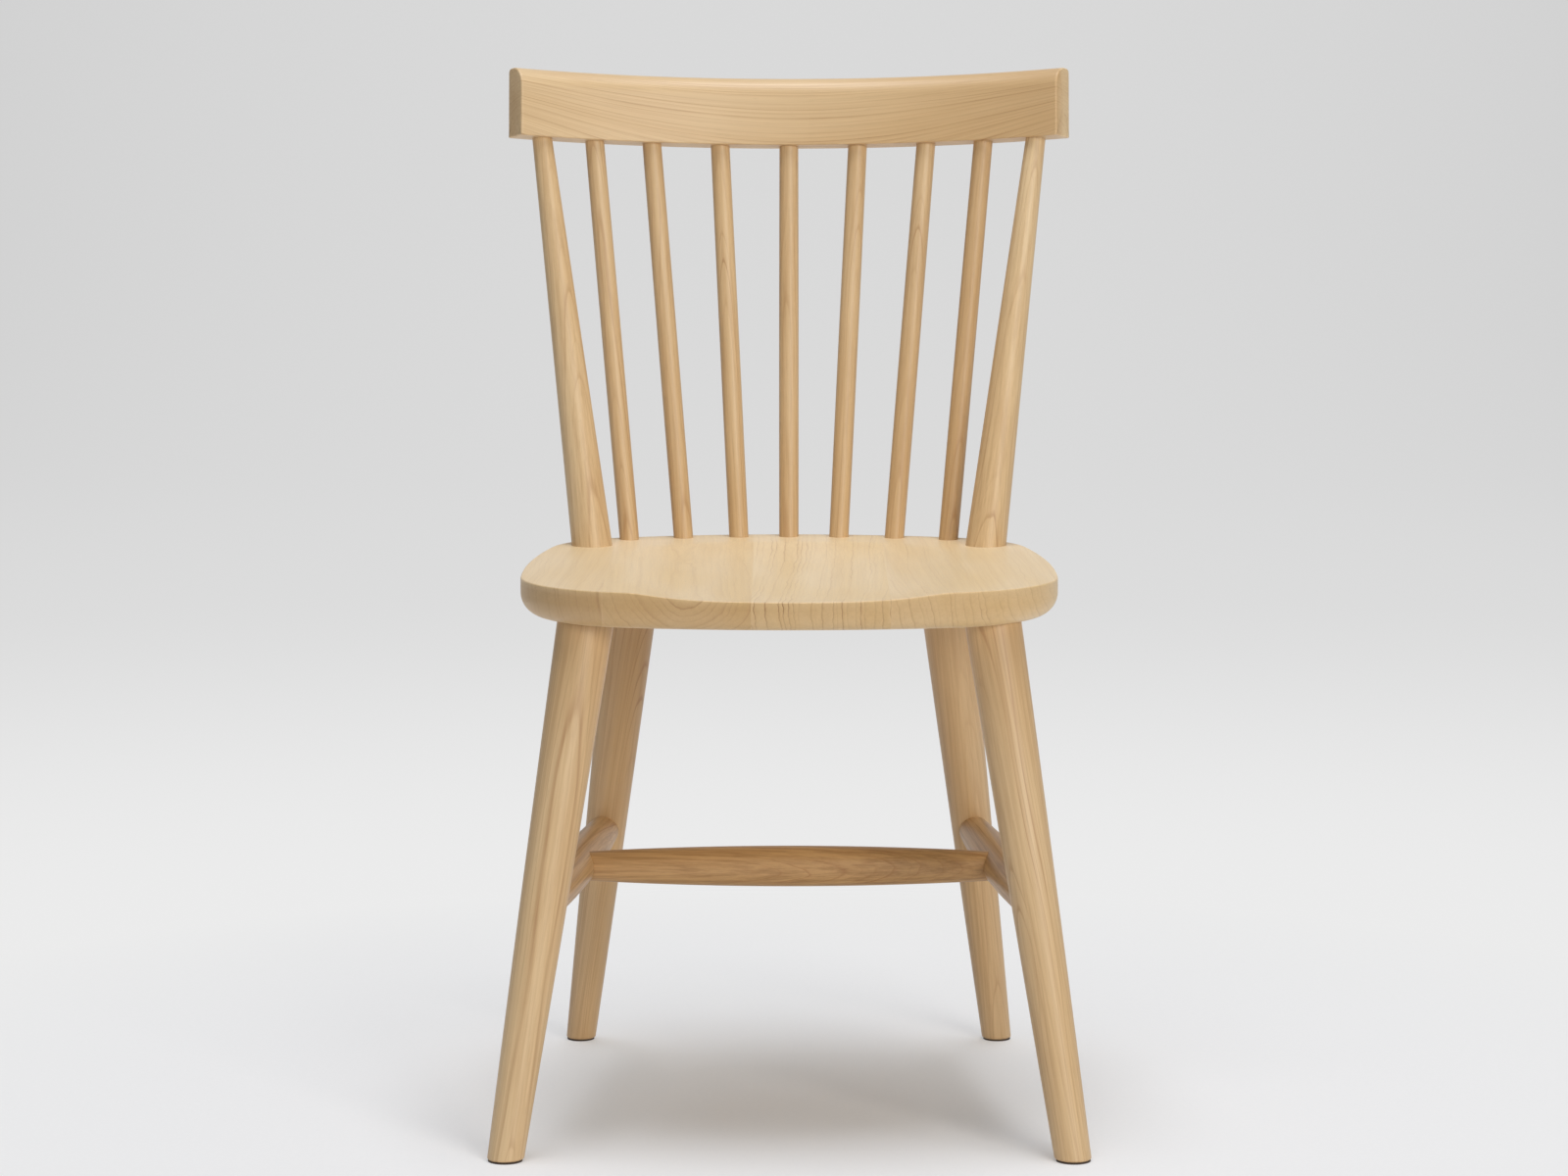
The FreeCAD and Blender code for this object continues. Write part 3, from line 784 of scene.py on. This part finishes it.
def bar_piece(name, stick, neighbours, turn, slope, start, tone):
    """A bar from one neighbour's skin to the other's, with its own tree."""
    low_end = stick.meets(neighbours[0].clear_of, 0, SEARCH)
    high_end = stick.meets(neighbours[1].clear_of, stick.length, stick.length - SEARCH)
    mesh = stack_mesh("turned_" + name, between(stick, low_end, high_end))
    grain = stick_grain(stick, turn, aside=5.0, away=38.0, slope=slope, start=start)
    finish_piece(mesh, grain, tone, 0.9, bar_maple, [name])


# The bars' tones of 0.85 and 1.0 are painted shade under the seat.
side_bars = []
for side_name, turn in (("left", 0.4), ("right", 2.6)):
    joined = [legs["front_leg_" + side_name], legs["rear_leg_" + side_name]]
    bar = Stick(*[on_axis(leg, STRETCHER_HEIGHT) for leg in joined], SIDE_BAR)
    side_bars.append(bar)
    bar_piece("side_stretcher_" + side_name, bar, joined, turn, slope=0.02,
              start=4100.0 + 500.0 * turn, tone=0.85)

cross = Stick(*[(bar.low + bar.high) / 2 for bar in side_bars], CROSS_BAR)
bar_piece("cross_stretcher", cross, side_bars, 0.5, slope=0.10, start=5600.0, tone=1.0)

# %% [markdown]
# ## The bend of the crest rail
# The rail is a flat board, steamed and bent to an arc, and leaned back with the
# spindles. Drawn level, its underside is an arc of a circle; leaning it back by
# the same angle as the spindles gives its place on the chair.

# %% Rail geometry
LEAN = math.radians(10.6)
BACK_HEIGHT = 331.5
RAIL_CHORD, RAIL_BOW, RAIL_HEIGHT, RAIL_THICKNESS = 467.0, 61.5, 59.5, 25.0
RAIL_RADIUS = (RAIL_CHORD ** 2 / 4 + RAIL_BOW ** 2) / (2 * RAIL_BOW)
SPINDLE_INSET = 15.0
SPINDLE_ROW = SEAT_BACK - SPINDLE_INSET
rail_origin = np.array([0.0, SPINDLE_ROW + BACK_HEIGHT * math.tan(LEAN), SEAT_HEIGHT + BACK_HEIGHT])
rail_right = np.array([1.0, 0.0, 0.0])
rail_up = np.array([0.0, math.sin(LEAN), math.cos(LEAN)])
rail_back = np.array([0.0, math.cos(LEAN), -math.sin(LEAN)])


def rail_place(angle, reach, height):
    """A place on the rail: angle along the bend, reach from the bend's centre, height up the
    leaned rail."""
    x = reach * np.sin(angle)
    y = reach * np.cos(angle) - RAIL_RADIUS
    return (rail_origin + x[..., None] * rail_right + y[..., None] * rail_back
            + height[..., None] * rail_up)


def rail_foot(x):
    """The middle of the rail's underside at this distance to the right."""
    return rail_place(np.array(math.asin(x / RAIL_RADIUS)), np.array(RAIL_RADIUS), np.array(0.0))


print("the rail is bent to a radius of %.0f mm" % RAIL_RADIUS)

# %% [markdown]
# ## Spindles and posts
# Seven slim spindles and two stout conical posts fan out from the seat to the
# rail. Their feet stand on the seat's flat rim and their heads end flat under
# the rail, so both ends are trimmed by planes.

# %% Seven spindles and two posts
SPINDLE, POST = tapered(8.3, 8.1, 0.2), tapered(17.1, 8.4, 0.0)
FEET, HEADS = (43.0, 90.5, 136.5), (59.3, 118.0, 166.7)
POST_FOOT, POST_HEAD, POST_IN = 167.0, 210.8, 78.0
under_rail = plane_clear(rail_origin, -rail_up)
on_seat = plane_clear((0, 0, SEAT_HEIGHT), (0, 0, 1))


def upright(name, low, high, radius, turn, start, away, tone):
    """A stick trimmed by the seat's top and by the rail's underside."""
    stick = Stick(low, high, radius)
    low_end = stick.meets(on_seat, -40, SEARCH)
    high_end = stick.meets(under_rail, stick.length + 40, stick.length - SEARCH)
    label = name.replace("spindle", "turned_spindle").replace("back_post", "turned_post")
    mesh = stack_mesh(label, between(stick, low_end, high_end))
    grain = stick_grain(stick, turn, aside=4.0, away=away, slope=0.03, start=start)
    finish_piece(mesh, grain, tone, 0.6, turned_maple, [name])


def spindle_foot(x):
    """On the seat, a steady way in from the round of its back edge."""
    reach = BACK_RADIUS - SPINDLE_INSET
    return np.array([x, SEAT_BACK - BACK_RADIUS + math.sqrt(reach ** 2 - x ** 2), SEAT_HEIGHT])


feet = [-x for x in reversed(FEET)] + [0.0, *FEET]
heads = [-x for x in reversed(HEADS)] + [0.0, *HEADS]
# The last spindle's tone of 0.50 is partly its wood and partly painted shade, where the right post
# shades it.
spindle_tones = (0.21, 0.28, 0.17, 0.24, 0.22, 0.30, 0.50)
draw = np.random.default_rng(11)
for number, (foot, head, tone) in enumerate(zip(feet, heads, spindle_tones), start=1):
    turn, away = draw.uniform(-0.6, 0.6), draw.uniform(24, 60)
    upright("spindle_%d" % number, spindle_foot(foot), rail_foot(head), SPINDLE, turn,
            6000.0 + 450.0 * number, away, tone)

for name, side, turn, tone in (("back_post_left", -1, 0.3, 0.15),
                               ("back_post_right", 1, -0.2, 0.0)):
    upright(name, (side * POST_FOOT, SEAT_BACK - POST_IN, SEAT_HEIGHT),
            rail_foot(side * POST_HEAD), POST, turn, 9800.0 + 300.0 * side, 34.0, tone)

# %% [markdown]
# ## The crest rail
# In section the rail is a tall rectangle with a big round-over at the top of its
# front face, where shoulders lean, and small eased edges elsewhere. The section
# is swept along the bend, and the last millimetre and a half at each end is
# drawn in to soften the edge of the sawn end.

# %% Crest rail
RAIL_END_EDGE, RAIL_END_ROW = 1.5, 2.2
EASED, BACK_EDGE, FRONT_ROLL = 0.9, 4.0, 17.0  # radii of the section's corners
LOG_SWEEP = 0.0009
RAIL_HEART, RAIL_START = (-24.0, -62.0), 3300.0  # of its tree: in depth, in height, and along


def rail_section():
    """Round the section: four quarter circles with their outward directions, and straight runs
    between."""
    half = RAIL_THICKNESS / 2
    corners = (  # side of the corner, its height, its radius, and where its quarter turn starts
        (1, 0.0, EASED, -90), (1, RAIL_HEIGHT, BACK_EDGE, 0),
        (-1, RAIL_HEIGHT, FRONT_ROLL, 90), (-1, 0.0, EASED, 180))
    places, directions = [], []
    for side, height, radius, start in corners:
        turns = np.radians(np.linspace(start, start + 90, 14))
        out = np.stack([np.cos(turns), np.sin(turns)], axis=1)
        upward = 1 if height > 0 else -1
        centre = np.array([side * (half - radius), height - upward * radius])
        places.append(centre + radius * out)
        directions.append(out)
    filled, filled_out = [], []
    shares = np.array([0.02, 0.25, 0.5, 0.75, 0.98])[:, None]
    for i, (place, out) in enumerate(zip(places, directions)):
        following = places[(i + 1) % 4][0]
        filled += [place, place[-1] + (following - place[-1]) * shares]
        filled_out += [out, np.broadcast_to(out[-1], (len(shares), 2))]
    return np.concatenate(filled), np.concatenate(filled_out)


section, section_out = rail_section()
half_angle = math.asin(RAIL_CHORD / 2 / RAIL_RADIUS)
turns = np.radians(np.linspace(0, 90, 6))
insets = RAIL_END_EDGE * (1 - np.sin(turns))
ends = half_angle - RAIL_END_EDGE * (1 - np.cos(turns)) / RAIL_RADIUS
inner = np.linspace(-1, 1, 121) * (half_angle - RAIL_END_ROW / RAIL_RADIUS)
angles = np.concatenate([-ends, inner, ends[::-1]])
insets = np.concatenate([insets, np.zeros(len(inner)), insets[::-1]])
drawn = section[None] - section_out[None] * insets[:, None, None]
rail_rings = rail_place(angles[:, None] * np.ones(len(section)), RAIL_RADIUS + drawn[..., 0],
                        drawn[..., 1])
rail_mesh = stack_mesh("bent_crest_rail", rail_rings)


def rail_grain(points):
    """Along the bend: arc length s. Across: depth through the board, and height up it less a bow of
    0.0009 s^2 that fades toward the top, because this board was sawn from a log with a slight
    sweep."""
    local = points - rail_origin
    x, y, height = local[:, 0], local @ rail_back + RAIL_RADIUS, local @ rail_up
    arc_length = np.arctan2(x, y) * RAIL_RADIUS
    depth = np.hypot(x, y) - RAIL_RADIUS
    bowed = height - LOG_SWEEP * arc_length ** 2 * (1 - 0.8 * height / RAIL_HEIGHT)
    return np.stack([depth - RAIL_HEART[0], bowed - RAIL_HEART[1], arc_length + RAIL_START],
                    axis=1)


def rail_tone(points):
    """Warmer toward the right end: 0.21 + 0.26 times a smooth step from one end to the other. Of
    the sawn end faces the right one, lit by the front lamp, is painted pale as painted light,
    and the left one, in shade, a little browner as painted shade."""
    share = np.clip(0.42 + points[:, 0] / RAIL_CHORD, 0, 1)
    at_end = np.clip((np.abs(points[:, 0]) - (RAIL_CHORD / 2 - 3.0)) / 1.5, 0, 1)
    # Painted light and shade: tone 0.35 on the left end face, 0 on the right one.
    end_face_light_and_shade = np.where(points[:, 0] < 0, 0.35, 0.0)
    return (0.21 + 0.26 * smooth_step(share)) * (1 - at_end) + end_face_light_and_shade * at_end


def rail_fibre(points):
    """The direction of the bend at each place."""
    local = points - rail_origin
    angle = np.arctan2(local[:, 0], local @ rail_back + RAIL_RADIUS)
    return np.cos(angle)[:, None] * rail_right - np.sin(angle)[:, None] * rail_back


finish_piece(rail_mesh, (rail_grain, rail_fibre), rail_tone, 0.8, rail_maple,
             ["crest_rail"])

# %% [markdown]
# ## Glides under the feet
# Thin dark discs of plastic keep the feet off the floor. They are plain discs,
# so the CAD solids stay, with a matt moulded finish: a faint mottle, drawn at a
# millimetre because the real one is too fine to show, and a slightly rougher
# wear here and there.

# %% Glide material
glide = bpy.data.materials.new("glide_dark_moulded_plastic")
tree = empty_tree(glide)
place = add(tree, "TexCoord", output="Object")
mottle = add(tree, "TexNoise", {"Vector": place, "Scale": 900.0, "Detail": 2.0})
tint = add(tree, "Mix", {0: mottle, 6: linear("#33271E"), 7: linear("#4A3A2D")}, output=2,
           data_type="RGBA")
wear = add(tree, "MapRange", {"Value": mottle, "To Min": 0.5, "To Max": 0.7})
matt = add(tree, "BsdfPrincipled", {"Base Color": tint, "Roughness": wear, "IOR": 1.49})
add(tree, "OutputMaterial", {"Surface": matt})
for name, node_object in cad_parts.items():
    if "glide" in name:
        node_object.data.materials.clear()
        node_object.data.materials.append(glide)
        print(name, "is", glide.name)

# %% [markdown]
# ## A seamless studio sweep
# The chair stands on a pale paper sweep that rises behind it with no corner, so
# the floor turns into the background without a line. The sweep is a profile,
# floor, bend and wall, drawn out sideways. Near the chair the paper is lit by
# the lamps and takes the chair's shadow, which the glow below lightens with
# painted light.

# %% Sweep
SWEEP_FRONT, SWEEP_BACK, SWEEP_BEND, SWEEP_TOP, SWEEP_HALF = -8.0, 6.6, 2.0, 6.5, 8.0
COLUMNS = 9
bend = np.radians(np.linspace(0, 90, 33))
bend_y = SWEEP_BACK - SWEEP_BEND + SWEEP_BEND * np.sin(bend)
bend_z = SWEEP_BEND * (1 - np.cos(bend))
profile = np.concatenate([[[SWEEP_FRONT, 0.0]], np.stack([bend_y, bend_z], axis=1),
                          [[SWEEP_BACK, SWEEP_TOP]]])
across = np.linspace(-SWEEP_HALF, SWEEP_HALF, COLUMNS)
grid = np.concatenate([np.broadcast_to(across[None, :, None], (len(profile), COLUMNS, 1)),
                       np.broadcast_to(profile[:, None, :], (len(profile), COLUMNS, 2))], axis=2)
row, column = np.meshgrid(np.arange(len(profile) - 1), np.arange(COLUMNS - 1), indexing="ij")
corner = row * COLUMNS + column
quads = np.stack([corner, corner + 1, corner + COLUMNS + 1, corner + COLUMNS], axis=-1)
sweep_mesh = bpy.data.meshes.new("paper_sweep")
sweep_mesh.from_pydata(grid.reshape(-1, 3).tolist(), [], quads.reshape(-1, 4).tolist())
sweep_mesh.shade_smooth()
sweep = show("paper_sweep", sweep_mesh)
print("sweep of", len(sweep_mesh.polygons), "faces")

# The tooth of real paper is under a millimetre; here it is 4 mm, to show at all.
paper = bpy.data.materials.new("matt_studio_paper")
tree = empty_tree(paper)
place = add(tree, "TexCoord", output="Object")
tooth = add(tree, "TexNoise", {"Vector": place, "Scale": 260.0})
sheet_colour = add(tree, "Mix", {0: tooth, 6: linear("#F3F4F6"), 7: linear("#F8F9FB")}, output=2,
                   data_type="RGBA")
matt = add(tree, "BsdfPrincipled", {"Base Color": sheet_colour, "Roughness": 0.9,
                                    "Specular IOR Level": 0.1})

# %% [markdown]
# ## The glow of the paper far off
# Away from the chair, what the camera sees fades into an even glow of the
# paper's own colour, as a separately lit background would be. It falls off
# between one and three and a half metres, a little again toward six, and up the
# wall also with the square of the distance sideways. The glow is only for the
# camera and for reflections, so it puts no light on the chair.

# %% Glow of the sweep
FLOOR_GLOW, WALL_GLOW, FAR_SHARE = 0.845, 0.735, 0.96
EDGE_FALL, EDGE_FLOOR = -0.028, 0.92
flat_place = add(tree, "VectorMath", {0: place, 1: (1.0, 1.0, 0.0), 2: (0.0, 0.1, 0.0)},
                 operation="MULTIPLY_ADD")
from_chair = add(tree, "VectorMath", {0: flat_place}, output="Value", operation="LENGTH")
near = add(tree, "MapRange", {"Value": from_chair, "From Min": 1.1, "From Max": 3.4,
                              "To Min": FLOOR_GLOW, "To Max": WALL_GLOW},
           interpolation_type="SMOOTHSTEP")
far = add(tree, "MapRange", {"Value": from_chair, "From Min": 3.0, "From Max": 6.0,
                             "To Min": 1.0, "To Max": FAR_SHARE})
sideways = add(tree, "SeparateXYZ", {0: place}, output="X")
away = sideways.node.outputs["Y"]
sideways = add(tree, "Math", {0: sideways, 1: 2.0}, operation="POWER")
up_wall = add(tree, "MapRange", {"Value": away, "From Min": 1.6, "From Max": 5.5,
                                 "To Min": 0.0, "To Max": EDGE_FALL})
corners = add(tree, "Math", {0: sideways, 1: up_wall, 2: 1.0}, operation="MULTIPLY_ADD")
corners = add(tree, "Math", {0: corners, 1: EDGE_FLOOR}, operation="MAXIMUM")
glow = add(tree, "Math", {0: near, 1: far}, operation="MULTIPLY")
glow = add(tree, "Math", {0: glow, 1: corners}, operation="MULTIPLY")
glow_colour = add(tree, "Mix", {0: tooth, 6: linear("#FCFCFC"), 7: linear("#FFFFFF")}, output=2,
                  data_type="RGBA")
glowing = add(tree, "Emission", {"Color": glow_colour, "Strength": glow})
# Painted light: from 8% at the chair, about 10 cm in front of its middle, to all of it a metre
# away, the glow is mixed into what the camera sees, lightening and narrowing the chair's shadow.
glow_share_lifting_shadow = add(tree, "MapRange", {"Value": from_chair, "From Min": 0.06, "From Max": 1.0,
                                 "To Min": 0.08})
camera_ray = add(tree, "LightPath", output="Is Camera Ray")
glossy_ray = camera_ray.node.outputs["Is Glossy Ray"]
seen = add(tree, "Math", {0: camera_ray, 1: glossy_ray}, operation="MAXIMUM")
share = add(tree, "Math", {0: glow_share_lifting_shadow, 1: seen}, operation="MULTIPLY")
surface = add(tree, "MixShader", {0: share, 1: matt, 2: glowing})
add(tree, "OutputMaterial", {"Surface": surface})
sweep_mesh.materials.append(paper)
print("the sweep glows in", paper.name)

# %% [markdown]
# ## Soft studio light
# A big soft lamp hangs high over the chair: it makes the seat and the top of
# the rail light, and puts a soft shadow on the floor under the seat. A second
# one, warmer and farther off, stands at the front right and makes the right
# side of every stick lighter than its left. The world fills the shadows. Both
# lamps are far away for their size, so the rail gets hardly more light than the
# seat.

# %% Lamps and world


def soft_lamp(name, place, aim, size, watts, colour):
    """A square area lamp at place, turned to face aim."""
    data = bpy.data.lights.new(name, "AREA")
    data.shape = "SQUARE"
    data.size = size
    data.energy = watts
    data.color = linear(colour)[:3]
    lamp = show(name, data)
    lamp.location = place
    away = np.array(place) - np.array(aim)
    flat_length = math.hypot(away[0], away[1])
    lamp.rotation_euler = (math.atan2(flat_length, away[2]), 0.0, math.atan2(away[0], -away[1]))


soft_lamp("overhead", (0.04, -0.12, 5.2), (0, 0, 0), size=2.5, watts=156.0, colour="#F8FAFF")
soft_lamp("front_right", (2.6, -5.1, 2.5), (0, 0, 0.5), size=2.4, watts=154.0, colour="#FFF9F0")

world = bpy.data.worlds.new("studio_fill")
tree = empty_tree(world)
seen = add(tree, "LightPath", output="Is Camera Ray")
strength = add(tree, "MapRange", {"Value": seen, "To Min": 0.20, "To Max": 0.70})
fill = add(tree, "Background", {"Color": linear("#FFFFFF"), "Strength": strength})
add(tree, "OutputWorld", {"Surface": fill})
bpy.context.scene.world = world
bpy.context.scene.view_settings.view_transform = "Standard"
